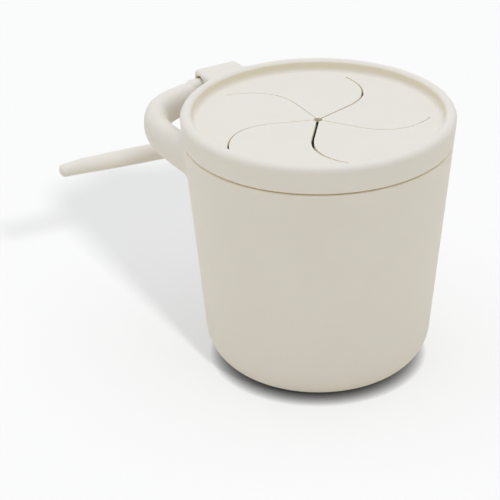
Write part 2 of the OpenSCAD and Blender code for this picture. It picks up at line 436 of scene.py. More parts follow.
def end_tree(tree: bpy.types.NodeTree, mesh: bpy.types.NodeSocket, finish: bpy.types.NodeSocket) -> None:
    """Ends a geometry tree with one real mesh in its finish.

    Args:
        tree: The geometry tree.
        mesh: The socket that gives the mesh.
        finish: The socket that gives the material.
    """
    whole = add_node(tree, "GeometryNodeRealizeInstances", {"Geometry": mesh}).outputs[0]
    dressed = add_node(tree, "GeometryNodeSetMaterial", {"Geometry": whole, "Material": finish}).outputs[0]
    add_node(tree, "NodeGroupOutput", {"Geometry": dressed})


def ringed_grid(
    tree: bpy.types.NodeTree, chain: bpy.types.NodeSocket, steps: bpy.types.NodeSocket
) -> tuple[bpy.types.NodeSocket, bpy.types.NodeSocket, bpy.types.NodeSocket]:
    """Adds a grid with one row for each point of a chain, each row to be bent to a ring.

    Args:
        tree: The geometry tree.
        chain: The socket that gives the chain.
        steps: The socket that gives the number of steps round a ring.

    Returns:
        The sockets that give the grid, each grid point's row and its angle round the ring.
    """
    count = add_node(tree, "GeometryNodeAttributeDomainSize", {"Geometry": chain}, component="MESH").outputs[0]
    columns = add_node(tree, "ShaderNodeMath", {0: steps, 1: 1.0}, operation="ADD").outputs[0]
    grid = add_node(tree, "GeometryNodeMeshGrid", {"Vertices X": count, "Vertices Y": columns}).outputs["Mesh"]
    number = add_node(tree, "GeometryNodeInputIndex").outputs[0]
    # The half keeps a row's first point from being rounded down to the row before it
    middle = add_node(tree, "ShaderNodeMath", {0: number, 1: 0.5}, operation="ADD").outputs[0]
    share = add_node(tree, "ShaderNodeMath", {0: middle, 1: columns}, operation="DIVIDE").outputs[0]
    row = add_node(tree, "ShaderNodeMath", {0: share}, operation="FLOOR").outputs[0]
    before = add_node(tree, "ShaderNodeMath", {0: row, 1: columns}, operation="MULTIPLY").outputs[0]
    column = add_node(tree, "ShaderNodeMath", {0: number, 1: before}, operation="SUBTRACT").outputs[0]
    turn = add_node(tree, "ShaderNodeMath", {0: column, 1: steps}, operation="DIVIDE").outputs[0]
    angle = add_node(tree, "ShaderNodeMath", {0: turn, 1: 2 * math.pi}, operation="MULTIPLY").outputs[0]
    return grid, row, angle


def carried(
    tree: bpy.types.NodeTree, chain: bpy.types.NodeSocket, row: bpy.types.NodeSocket, name: str, kind: str
) -> bpy.types.NodeSocket:
    """Reads what the points of a chain carry, for each point of the grid.

    Args:
        tree: The geometry tree.
        chain: The socket that gives the chain.
        row: The socket that gives each grid point's row.
        name: The name of the value.
        kind: Its kind, a number or a vector.

    Returns:
        The socket that gives the value.
    """
    value = add_node(tree, "GeometryNodeInputNamedAttribute", {"Name": name}, data_type=kind).outputs["Attribute"]
    asked = {"Geometry": chain, "Value": value, "Index": row}
    return add_node(tree, "GeometryNodeSampleIndex", asked, data_type=kind).outputs[0]


def turned_wall_tree() -> bpy.types.NodeTree:
    """Builds the tree that turns a section about the Z axis. The section is a chain of points in the XZ plane.

    Each point of the section carries how deep in a corner it lies, which sets the painted warm bounce tint there,
    and its whole ring keeps that.

    Returns:
        The tree, with inputs Geometry, Steps and Finish.
    """
    tree, enter = start_tree("Turned wall", {"Steps": "Int"})
    grid, row, angle = ringed_grid(tree, enter["Geometry"], enter["Steps"])
    point = carried(tree, enter["Geometry"], row, "position", "FLOAT_VECTOR")
    depth = carried(tree, enter["Geometry"], row, "painted_corner_bounce", "FLOAT")
    swung = {"Vector": point, "Angle": angle}
    place = add_node(tree, "ShaderNodeVectorRotate", swung, rotation_type="Z_AXIS").outputs[0]
    wall = add_node(tree, "GeometryNodeSetPosition", {"Geometry": grid, "Position": place}).outputs[0]
    marked = add_node(
        tree,
        "GeometryNodeStoreNamedAttribute",
        {"Geometry": wall, "Name": "painted_corner_bounce", "Value": depth},
        data_type="FLOAT",
        domain="POINT",
    ).outputs[0]
    closed = add_node(tree, "GeometryNodeMergeByDistance", {"Geometry": marked, "Distance": WELD}).outputs[0]
    end_tree(tree, shaded(tree, closed), enter["Finish"])
    return tree


def swept_band_tree() -> bpy.types.NodeTree:
    """Builds the tree that sweeps a rounded section along a rail.

    Each rail point carries the section's side and up directions, its thickness and height, and their powers.

    Returns:
        The tree, with inputs Geometry, Sides and Finish.
    """
    tree, enter = start_tree("Swept band", {"Sides": "Int"})
    grid, row, angle = ringed_grid(tree, enter["Geometry"], enter["Sides"])
    kinds = dict.fromkeys(("position", "side", "up"), "FLOAT_VECTOR")
    kinds |= dict.fromkeys(("thick", "high", "side_power", "up_power"), "FLOAT")
    rail = {name: carried(tree, enter["Geometry"], row, name, kind) for name, kind in kinds.items()}
    # A superellipse: with both powers at 2 it is an ellipse, and a larger upward power lengthens the upright sides
    place = rail["position"]
    for wave, size, way, squareness in (("COSINE", "thick", "side", "side_power"), ("SINE", "high", "up", "up_power")):
        power = add_node(tree, "ShaderNodeMath", {0: 2.0, 1: rail[squareness]}, operation="DIVIDE").outputs[0]
        raw = add_node(tree, "ShaderNodeMath", {0: angle}, operation=wave).outputs[0]
        length = add_node(tree, "ShaderNodeMath", {0: raw}, operation="ABSOLUTE").outputs[0]
        bent = add_node(tree, "ShaderNodeMath", {0: length, 1: power}, operation="POWER").outputs[0]
        sign = add_node(tree, "ShaderNodeMath", {0: raw}, operation="SIGN").outputs[0]
        signed = add_node(tree, "ShaderNodeMath", {0: bent, 1: sign}, operation="MULTIPLY").outputs[0]
        half = add_node(tree, "ShaderNodeMath", {0: rail[size], 1: 0.5}, operation="MULTIPLY").outputs[0]
        reach = add_node(tree, "ShaderNodeMath", {0: signed, 1: half}, operation="MULTIPLY").outputs[0]
        step = add_node(tree, "ShaderNodeVectorMath", {0: rail[way], "Scale": reach}, operation="SCALE").outputs[0]
        place = add_node(tree, "ShaderNodeVectorMath", {0: place, 1: step}, operation="ADD").outputs[0]
    wall = add_node(tree, "GeometryNodeSetPosition", {"Geometry": grid, "Position": place}).outputs[0]
    closed = add_node(tree, "GeometryNodeMergeByDistance", {"Geometry": wall, "Distance": WELD}).outputs[0]
    smooth = add_node(tree, "GeometryNodeSetShadeSmooth", {"Geometry": closed, "Shade Smooth": True}).outputs[0]
    end_tree(tree, smooth, enter["Finish"])
    return tree


def petal_tree(rows: int, columns: int) -> bpy.types.NodeTree:
    """Builds the tree of one petal between two curved slits, turned to its own place by its number.

    Args:
        rows: Points from the centre to the slits' tips.
        columns: Points from one slit to the next.

    Returns:
        The tree, with the petal's sizes as its inputs. Lengths are in metres and angles in radians.
    """
    sizes = (
        "First slit", "Pitch", "Number", "Hole radius", "Straight radius", "Tip radius", "Sweep", "Slit width",
        "Slit tip width", "Next slit width", "Next slit tip width", "Top", "Thickness",
    )
    tree, enter = start_tree("Petal", dict.fromkeys(sizes, "Float"))
    # The grid's own X, 0 to 1, runs outwards and its Y, 0 to 1, from slit to slit
    cells = {"Size X": 1.0, "Size Y": 1.0, "Vertices X": rows, "Vertices Y": columns}
    grid = add_node(tree, "GeometryNodeMeshGrid", cells).outputs["Mesh"]
    place = add_node(tree, "GeometryNodeInputPosition").outputs[0]
    parts = add_node(tree, "ShaderNodeSeparateXYZ", {0: place}).outputs
    out = add_node(tree, "ShaderNodeMath", {0: parts["X"], 1: 0.5}, operation="ADD").outputs[0]
    across = add_node(tree, "ShaderNodeMath", {0: parts["Y"], 1: 0.5}, operation="ADD").outputs[0]
    spread = {"Value": out, "To Min": enter["Hole radius"], "To Max": enter["Tip radius"]}
    radius = add_node(tree, "ShaderNodeMapRange", spread).outputs[0]
    # The slit swings round with the square of the share of its way from the straight part to the tip
    way = {"Value": radius, "From Min": enter["Straight radius"], "From Max": enter["Tip radius"]}
    bend = add_node(tree, "ShaderNodeMapRange", way).outputs[0]
    square = add_node(tree, "ShaderNodeMath", {0: bend, 1: 2.0}, operation="POWER").outputs[0]
    swing = add_node(tree, "ShaderNodeMath", {0: square, 1: enter["Sweep"]}, operation="MULTIPLY").outputs[0]
    # Its slant to the radius makes the same width take more of the arc: width / 2 / radius * sqrt(1 + slant squared)
    ends = {0: enter["Tip radius"], 1: enter["Straight radius"]}
    span = add_node(tree, "ShaderNodeMath", ends, operation="SUBTRACT").outputs[0]
    double = add_node(tree, "ShaderNodeMath", {0: bend, 1: 2.0}, operation="MULTIPLY").outputs[0]
    rate = add_node(tree, "ShaderNodeMath", {0: double, 1: span}, operation="DIVIDE").outputs[0]
    swept = add_node(tree, "ShaderNodeMath", {0: rate, 1: enter["Sweep"]}, operation="MULTIPLY").outputs[0]
    slant = add_node(tree, "ShaderNodeMath", {0: swept, 1: radius}, operation="MULTIPLY").outputs[0]
    longer = add_node(tree, "ShaderNodeMath", {0: slant, 1: slant, 2: 1.0}, operation="MULTIPLY_ADD").outputs[0]
    stretch = add_node(tree, "ShaderNodeMath", {0: longer}, operation="SQRT").outputs[0]
    halves = []
    for name in ("Slit", "Next slit"):
        gape = {"Value": square, "To Min": enter[f"{name} width"], "To Max": enter[f"{name} tip width"]}
        whole = add_node(tree, "ShaderNodeMapRange", gape).outputs[0]
        half = add_node(tree, "ShaderNodeMath", {0: whole, 1: 0.5}, operation="MULTIPLY").outputs[0]
        over = add_node(tree, "ShaderNodeMath", {0: half, 1: radius}, operation="DIVIDE").outputs[0]
        halves.append(add_node(tree, "ShaderNodeMath", {0: over, 1: stretch}, operation="MULTIPLY").outputs[0])
    far = add_node(tree, "ShaderNodeMath", {0: enter["Pitch"], 1: halves[1]}, operation="SUBTRACT").outputs[0]
    between = add_node(tree, "ShaderNodeMapRange", {"Value": across, "To Min": halves[0], "To Max": far}).outputs[0]
    local = add_node(tree, "ShaderNodeMath", {0: between, 1: swing}, operation="ADD").outputs[0]
    turn = {0: enter["Number"], 1: enter["Pitch"], 2: enter["First slit"]}
    first = add_node(tree, "ShaderNodeMath", turn, operation="MULTIPLY_ADD").outputs[0]
    angle = add_node(tree, "ShaderNodeMath", {0: local, 1: first}, operation="ADD").outputs[0]
    spoke = add_node(tree, "ShaderNodeCombineXYZ", {"X": radius, "Z": enter["Top"]}).outputs[0]
    swung = {"Vector": spoke, "Angle": angle}
    point = add_node(tree, "ShaderNodeVectorRotate", swung, rotation_type="Z_AXIS").outputs[0]
    top = add_node(tree, "GeometryNodeSetPosition", {"Geometry": grid, "Position": point}).outputs[0]
    drop = add_node(tree, "ShaderNodeMath", {0: enter["Thickness"], 1: -1.0}, operation="MULTIPLY").outputs[0]
    down = add_node(tree, "ShaderNodeCombineXYZ", {"Z": drop}).outputs[0]
    lowered = {"Mesh": top, "Offset": down, "Individual": False}
    pulled = add_node(tree, "GeometryNodeExtrudeMesh", lowered).outputs["Mesh"]
    cover = add_node(tree, "GeometryNodeFlipFaces", {"Mesh": top}).outputs[0]
    both = add_node(tree, "GeometryNodeJoinGeometry")
    for side in (pulled, cover):
        tree.links.new(side, both.inputs[0])
    joined = {"Geometry": both.outputs[0], "Distance": WELD}
    plate = add_node(tree, "GeometryNodeMergeByDistance", joined).outputs[0]
    # The edges along the slits and the centre hole are softened, and those that meet the fixed ring are not
    fold = add_node(tree, "GeometryNodeInputMeshEdgeAngle").outputs["Unsigned Angle"]
    sharp = add_node(tree, "ShaderNodeMath", {0: fold, 1: SHARP_FOLD}, operation="GREATER_THAN").outputs[0]
    flat = add_node(tree, "ShaderNodeVectorMath", {0: place, 1: (1.0, 1.0, 0.0)}, operation="MULTIPLY").outputs[0]
    away = add_node(tree, "ShaderNodeVectorMath", {0: flat}, operation="LENGTH").outputs["Value"]
    limit = add_node(tree, "ShaderNodeMath", {0: enter["Tip radius"], 1: 0.1 * MM}, operation="SUBTRACT").outputs[0]
    inner = add_node(tree, "ShaderNodeMath", {0: away, 1: limit}, operation="LESS_THAN").outputs[0]
    weight = add_node(tree, "ShaderNodeMath", {0: sharp, 1: inner}, operation="MULTIPLY").outputs[0]
    # A face that stands more than it lies is a cut's wall, which gets the painted paler, warmer glow of light through
    # the skin
    facing = add_node(tree, "GeometryNodeInputNormal").outputs[0]
    upright = add_node(tree, "ShaderNodeSeparateXYZ", {0: facing}).outputs["Z"]
    level = add_node(tree, "ShaderNodeMath", {0: upright}, operation="ABSOLUTE").outputs[0]
    wall = add_node(tree, "ShaderNodeMath", {0: level, 1: 0.5}, operation="LESS_THAN").outputs[0]
    for name, value, domain in (("bevel_weight_edge", weight, "EDGE"), ("cut", wall, "FACE")):
        mark = {"Geometry": plate, "Name": name, "Value": value}
        plate = add_node(tree, "GeometryNodeStoreNamedAttribute", mark, data_type="FLOAT", domain=domain).outputs[0]
    end_tree(tree, shaded(tree, plate), enter["Finish"])
    return tree


def turned(
    name: str,
    section: np.ndarray,
    painted_corner_bounce: np.ndarray,
    steps: int,
    tree: bpy.types.NodeTree,
    finish: bpy.types.Material,
) -> bpy.types.Object:
    """Turns a section into a closed wall.

    Args:
        name: The piece's name.
        section: Points of radius and height.
        painted_corner_bounce: How deep in a corner each point lies, 0 to 1, the share of the painted warm bounce tint.
        steps: The number of steps round the axis.
        tree: The turned wall tree.
        finish: The piece's material.

    Returns:
        The piece.
    """
    points = np.column_stack([section[:, 0], np.zeros(len(section)), section[:, 1]])
    made = mesh_object(name, points, [(i, i + 1) for i in range(len(points) - 1)], [])
    attribute(made, "painted_corner_bounce", "FLOAT", painted_corner_bounce)
    grow(made, tree, {"Steps": steps, "Finish": finish})
    return realise(made)


@dataclass
class CupShell:
    """The cup: flat foot, rounded base edge, tapered wall and softened mouth."""

    cone: OuterCone
    mouth_z: float = 78.45
    wall: float = 3.2
    floor: float = 3.6
    base_r: float = 13.3
    lip_r: float = 0.8
    steps: int = 216

    def section(self) -> np.ndarray:
        """Half section from the middle of the foot, up the outside and down the inside to the middle of the floor.

        Returns:
            Points of radius and height.
        """
        cone, taper, top = self.cone, self.cone.taper, self.mouth_z
        outer = cone.rounding(self.base_r, self.base_r, -90, -taper, 26)
        lip = cone.rounding(top - self.lip_r, self.lip_r, -taper, 90, 6)
        inner_r = cone.inside(top - self.lip_r, self.wall)
        inner_lip = arc((inner_r + self.lip_r, top - self.lip_r), self.lip_r, 90, 180, 6)
        bowl = cone.rounding(self.base_r, self.base_r - self.floor, -taper, -90, 20, self.wall)
        return refine([(0.0, 0.0)] + outer + lip + inner_lip + bowl + [(0.0, self.floor)])

    def build(self, tree: bpy.types.NodeTree, finish: bpy.types.Material) -> None:
        """Builds the cup, and puts it in its CAD solid's place.

        Args:
            tree: The turned wall tree.
            finish: The cup's material.
        """
        section = self.section()
        # The rounded lip under the lid gets the painted warm bounce tint, painted shade between cup and lid
        painted_corner_bounce = np.clip((section[:, 1] - self.mouth_z + self.lip_r) / self.lip_r, 0, 1)
        cup = turned("cup", section, painted_corner_bounce, self.steps, tree, finish)
        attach(cup, Body.CUP.value)
        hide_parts("cup_body")


@dataclass
class LidRim:
    """The lid's rim with its plug and the fixed outer ring of the membrane, one turned wall.

    The petals begin inside tip_r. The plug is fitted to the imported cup, whose sizes are cup_top and cup_wall.
    """

    cone: OuterCone
    lower_z: float = 78.82
    crown_r: float = 2.2
    inner_edge_r: float = 0.25
    inner_roll: float = 58.0
    recess_r: float = 40.2
    fillet_r: float = 1.3
    membrane_top: float = 84.3
    membrane_t: float = 1.6
    tip_r: float = 35.5
    cup_top: float = 78.7
    cup_wall: float = 3.2
    plug_gap: float = 0.35
    plug_t: float = 2.0
    plug_depth: float = 5.5
    draft: float = 0.8
    lip_r: float = 0.5
    toe_r: float = 0.5
    steps: int = 240

    def section(self) -> np.ndarray:
        """Closed section, from the ring's lower corner round the crown, the membrane and the plug.

        Returns:
            Points of radius and height, the first and last the same.
        """
        cone, taper, top = self.cone, self.cone.taper, self.cone.height
        plug_r = cone.inside(self.cup_top, self.cup_wall) - self.plug_gap
        under = self.membrane_top - self.membrane_t
        lip = cone.rounding(self.lower_z + self.lip_r, self.lip_r, -90, -taper, 6)
        crown = cone.rounding(top - self.crown_r, self.crown_r, -taper, 90, 14)
        # The top rolls down towards the recess and ends there in a crisp edge
        edge, steep = self.inner_edge_r, math.radians(self.inner_roll)
        roll_r = edge + (crown[-1][0] - self.recess_r - edge) / math.sin(steep)
        roll = arc((crown[-1][0], top - roll_r), roll_r, 90, 90 + self.inner_roll, 10)
        fall = (roll_r - edge) * (1 - math.cos(steep))
        roll += arc((self.recess_r + edge, top - edge - fall), edge, 90 + self.inner_roll, 180, 6)
        fillet = arc((self.recess_r - self.fillet_r, self.membrane_top + self.fillet_r), self.fillet_r, 0, -90, 10)
        floor = [(self.tip_r, self.membrane_top), (self.tip_r, under), (plug_r - self.plug_t, under)]
        toe_z = self.lower_z - self.plug_depth + self.toe_r
        heel = arc((plug_r - self.plug_t - self.draft + self.toe_r, toe_z), self.toe_r, 180, 270, 6)
        toe = arc((plug_r - self.draft - self.toe_r, toe_z), self.toe_r, 270, 360, 6)
        shoulder = [(plug_r, self.lower_z)]
        return refine(shoulder + lip + crown + roll + fillet + floor + heel + toe + shoulder)

    def build(self, tree: bpy.types.NodeTree, finish: bpy.types.Material) -> None:
        """Builds the rim, and puts it in the place of its CAD solids.

        Args:
            tree: The turned wall tree.
            finish: The lid's material.
        """
        section = self.section()
        r, z = section.T
        # The recess's fillet and the underside of the lip get the painted warm bounce tint, painted shade in these
        # corners
        in_recess = (r < self.recess_r + self.inner_edge_r / 2) & (r > self.tip_r)
        recess = np.where(in_recess, np.clip((z - self.membrane_top) / self.fillet_r, 0, 1), 0)
        under_lip = np.clip((self.lower_z + self.lip_r - z) / self.lip_r, 0, 1)
        rim = turned("lid_rim_and_plug", section, np.maximum(recess, under_lip), self.steps, tree, finish)
        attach(rim, Body.LID.value)
        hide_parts("lid_ring", "lid_membrane")


@dataclass
class Petals:
    """The five petals of the membrane, which bend down and spring back.

    Each slit leaves the centre hole straight and then sweeps round. It gapes by its own width at the centre and at
    its tip. A real petal bends over bend_length, which ends past_chord beyond the chord between its slits' tips; these
    two sizes are not used here.
    """

    first_slit: float = 45.7
    count: int = 5
    hole_r: float = 1.4
    straight_r: float = 14.0
    tip_r: float = 35.5
    sweep: float = 27.0
    slits: tuple[tuple[float, float], ...] = ((0.62, 0.5), (0.32, 0.3), (0.32, 0.6), (0.9, 0.3), (0.32, 0.32))
    top: float = 84.3
    thick: float = 1.6
    edge: float = 0.3
    bend_length: float = 8.0
    past_chord: float = 0.4
    rows: int = 44
    columns: int = 30

    def build(self, finish: bpy.types.Material) -> None:
        """Builds each petal from the one tree, and hides its CAD flap.

        Args:
            finish: The lid's material.
        """
        tree = petal_tree(self.rows, self.columns)
        pitch = 360 / self.count
        for number in range(self.count):
            petal = mesh_object(f"petal_{number + 1}", np.zeros((1, 3)), [], [])
            (width, tip_width), (next_width, next_tip_width) = (
                self.slits[(number + step) % self.count] for step in (0, 1)
            )
            lengths = {
                "Hole radius": self.hole_r,
                "Straight radius": self.straight_r,
                "Tip radius": self.tip_r,
                "Slit width": width,
                "Slit tip width": tip_width,
                "Next slit width": next_width,
                "Next slit tip width": next_tip_width,
                "Top": self.top,
                "Thickness": self.thick,
            }
            angles = {"First slit": self.first_slit, "Pitch": pitch, "Sweep": self.sweep}
            sizes = {name: length * MM for name, length in lengths.items()}
            sizes |= {name: math.radians(angle) for name, angle in angles.items()}
            grow(petal, tree, {**sizes, "Number": float(number), "Finish": finish})
            soften = petal.modifiers.new("Softened slit", "BEVEL")
            soften.limit_method = "WEIGHT"
            soften.width = self.edge * MM
            soften.segments = 3
            soften.harden_normals = True
            realise(petal)
            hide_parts(f"flap_{number + 1}")
            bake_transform(petal)


@dataclass
class LoopFrame:
    """The frame of the lid's loop: out from the cup, along the hole anticlockwise round the cup, and up."""

    turn: float = 120.0
    shift: float = 8.8
    bore_x: float = 46.5
    bore_z: float = 83.6
    bore_r: float = 2.7
    length: float = 15.2

    def world(self, local: np.ndarray) -> np.ndarray:
        """Turns points, or directions, of the loop's frame to the cup's.

        Args:
            local: One row for each point in the loop's frame.

        Returns:
            One row for each point in the cup's frame.
        """
        a = math.radians(self.turn)
        spin = np.array([[math.cos(a), math.sin(a), 0], [-math.sin(a), math.cos(a), 0], [0, 0, 1.0]])
        return np.asarray(local, float) @ spin


@dataclass
class LidLoop:
    """The tab on the lid's side with the flared hole that the strap threads. It grows out of the rim with fillets.

    The fillet of blend_r dies out inwards, over blend_over from the radius blend_from. The rim beside the tab is
    drawn in_rim below the lid's own, and ends at lower_z and inner_r. The surface is sought within reach_x and
    reach_z, and to spare beyond both ends of the hole.
    """

    cone: OuterCone
    frame: LoopFrame
    out: float = 6.5
    half_depth: float = 6.0
    step_down: float = 0.4
    under_bore: float = 1.3
    round_r: float = 1.5
    blend_r: float = 1.6
    blend_from: float = 41.6
    blend_over: float = 2.0
    flare_r: float = 0.45
    lengthened: float = 0.7
    crown_r: float = 2.2
    in_rim: float = 0.05
    lower_z: float = 78.87
    inner_r: float = 41.9
    voxel: float = 0.2
    reach_x: tuple[float, float] = (36.5, 51.6)
    reach_z: tuple[float, float] = (78.0, 89.0)
    spare: float = 4.0

    def distance(self, x: np.ndarray, y: np.ndarray, z: np.ndarray) -> np.ndarray:
        """Signed distance to the tab and the rim beside it, in the loop's frame.

        Args:
            x: Distance out from the cup's axis.
            y: Distance along the hole.
            z: Height.

        Returns:
            The distance, negative inside the silicone.
        """
        frame, top = self.frame, self.cone.height
        around = np.hypot(x, y)
        length, middle = frame.length + self.lengthened, frame.shift + self.lengthened / 2
        low = frame.bore_z - frame.bore_r - self.under_bore
        block = np.stack([
            np.abs(x - (self.cone.mouth_r + self.out - self.half_depth)) - self.half_depth + self.round_r,
            np.abs(y - middle) - length / 2 + self.round_r,
            np.abs(z - (low + top - self.step_down) / 2) - (top - self.step_down - low) / 2 + self.round_r,
        ])
        tab = np.linalg.norm(np.maximum(block, 0), axis=0) + np.minimum(block.max(0), 0) - self.round_r
        corner = np.stack([self.cone.gap(x, y, z) + self.crown_r, z - top + self.crown_r])
        rim = np.linalg.norm(np.maximum(corner, 0), axis=0) + np.minimum(corner.max(0), 0) - self.crown_r
        rim = rim + self.in_rim
        # The fillet dies out inwards, so that the tab sinks under the rim's top without a step
        share = np.clip((around - self.blend_from) / self.blend_over, 0.02, 1)
        reach = self.blend_r * share * share * (3 - 2 * share)
        near = np.clip(0.5 + 0.5 * (rim - tab) / reach, 0, 1)
        joined = rim + (tab - rim) * near - reach * near * (1 - near)
        in_end = np.clip(length / 2 - np.abs(y - middle), 0, self.flare_r)
        flare = self.flare_r - np.sqrt(self.flare_r**2 - (self.flare_r - in_end) ** 2)
        hole = np.hypot(x - frame.bore_x, z - frame.bore_z) - frame.bore_r - flare
        return np.maximum.reduce([joined, -hole, self.lower_z - z, self.inner_r - around])

    def surface(self) -> tuple[np.ndarray, list]:
        """Meshes the distance with one point in each cell that the surface crosses.

        Returns:
            The points in the loop's frame, and the faces.
        """
        side = self.frame.length / 2 + self.spare
        low = np.array([self.reach_x[0], self.frame.shift - side, self.reach_z[0]])
        high = np.array([self.reach_x[1], self.frame.shift + side, self.reach_z[1]])
        axes = [np.arange(a, b, self.voxel) for a, b in zip(low, high)]
        values = self.distance(*np.meshgrid(*axes, indexing="ij"))
        count = np.array(values.shape) - 1
        corner = {c: values[tuple(slice(o, o + n) for o, n in zip(c, count))] for c in product((0, 1), repeat=3)}
        total, crossings = np.zeros((*count, 3)), np.zeros(tuple(count))
        for a, b in product(corner, repeat=2):
            if sum(q - p for p, q in zip(a, b)) != 1 or any(q < p for p, q in zip(a, b)):
                continue
            crossed = (corner[a] < 0) != (corner[b] < 0)
            share = np.where(crossed, corner[a] / np.where(crossed, corner[a] - corner[b], 1), 0)
            point = np.array(a) + share[..., None] * (np.array(b) - np.array(a))
            total += np.where(crossed[..., None], point, 0)
            crossings += crossed
        cells = np.argwhere(crossings > 0)
        number = -np.ones(tuple(count), int)
        number[tuple(cells.T)] = np.arange(len(cells))
        points = low + (cells + total[tuple(cells.T)] / crossings[tuple(cells.T)][:, None]) * self.voxel
        faces = []
        for axis in range(3):
            u, v = (np.eye(3, dtype=int)[(axis + k) % 3] for k in (1, 2))
            inside = values < 0
            ahead = np.roll(inside, -1, axis=axis)
            change = np.argwhere(inside != ahead)
            keep = np.all((change >= 1) & (change < count), axis=1)
            for cell in change[keep]:
                ring = [number[tuple(cell - s)] for s in (0 * u, u, u + v, v)]
                faces.append(ring if inside[tuple(cell)] else ring[::-1])
        return points, faces

    def build(self, finish: bpy.types.Material) -> None:
        """Builds the tab, and puts it in its CAD solid's place.

        Args:
            finish: The lid's material.
        """
        points, faces = self.surface()
        # Two short steps down the slope bring the points from the cells' middles to the surface
        step, least, share = 0.02, 0.3, 0.6
        for _ in range(2):
            here = self.distance(*points.T)
            slope = np.stack([(self.distance(*(points + step * e).T) - here) / step for e in np.eye(3)], axis=1)
            points = points - slope * (here / np.maximum((slope**2).sum(1), least))[:, None] * share
        loop = mesh_object("lid_loop_tab", self.frame.world(points), [], faces)
        # The flared mouth of the hole gets the painted warm bounce tint, painted shade inside the hole
        bore = np.hypot(points[:, 0] - self.frame.bore_x, points[:, 2] - self.frame.bore_z)
        attribute(loop, "painted_corner_bounce", "FLOAT", np.clip((self.frame.bore_r + self.flare_r - bore) / self.flare_r, 0, 1))
        loop.data.materials.append(finish)
        loop.data.shade_smooth()
        realise(loop)
        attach(loop, Body.LID.value)
        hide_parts("lid_loop")


@dataclass(frozen=True)
class Station:
    """One section of the strap: out and along from the hole's centre line, the drop below it, and the section."""

    out: float
    along: float
    drop: float
    high: float
    thick: float
    side_power: float = 2.0
    up_power: float = 2.4

    def row(self) -> list[float]:
        """The station as a list of numbers."""
        return [self.out, self.along, self.drop, self.high, self.thick, self.side_power, self.up_power]


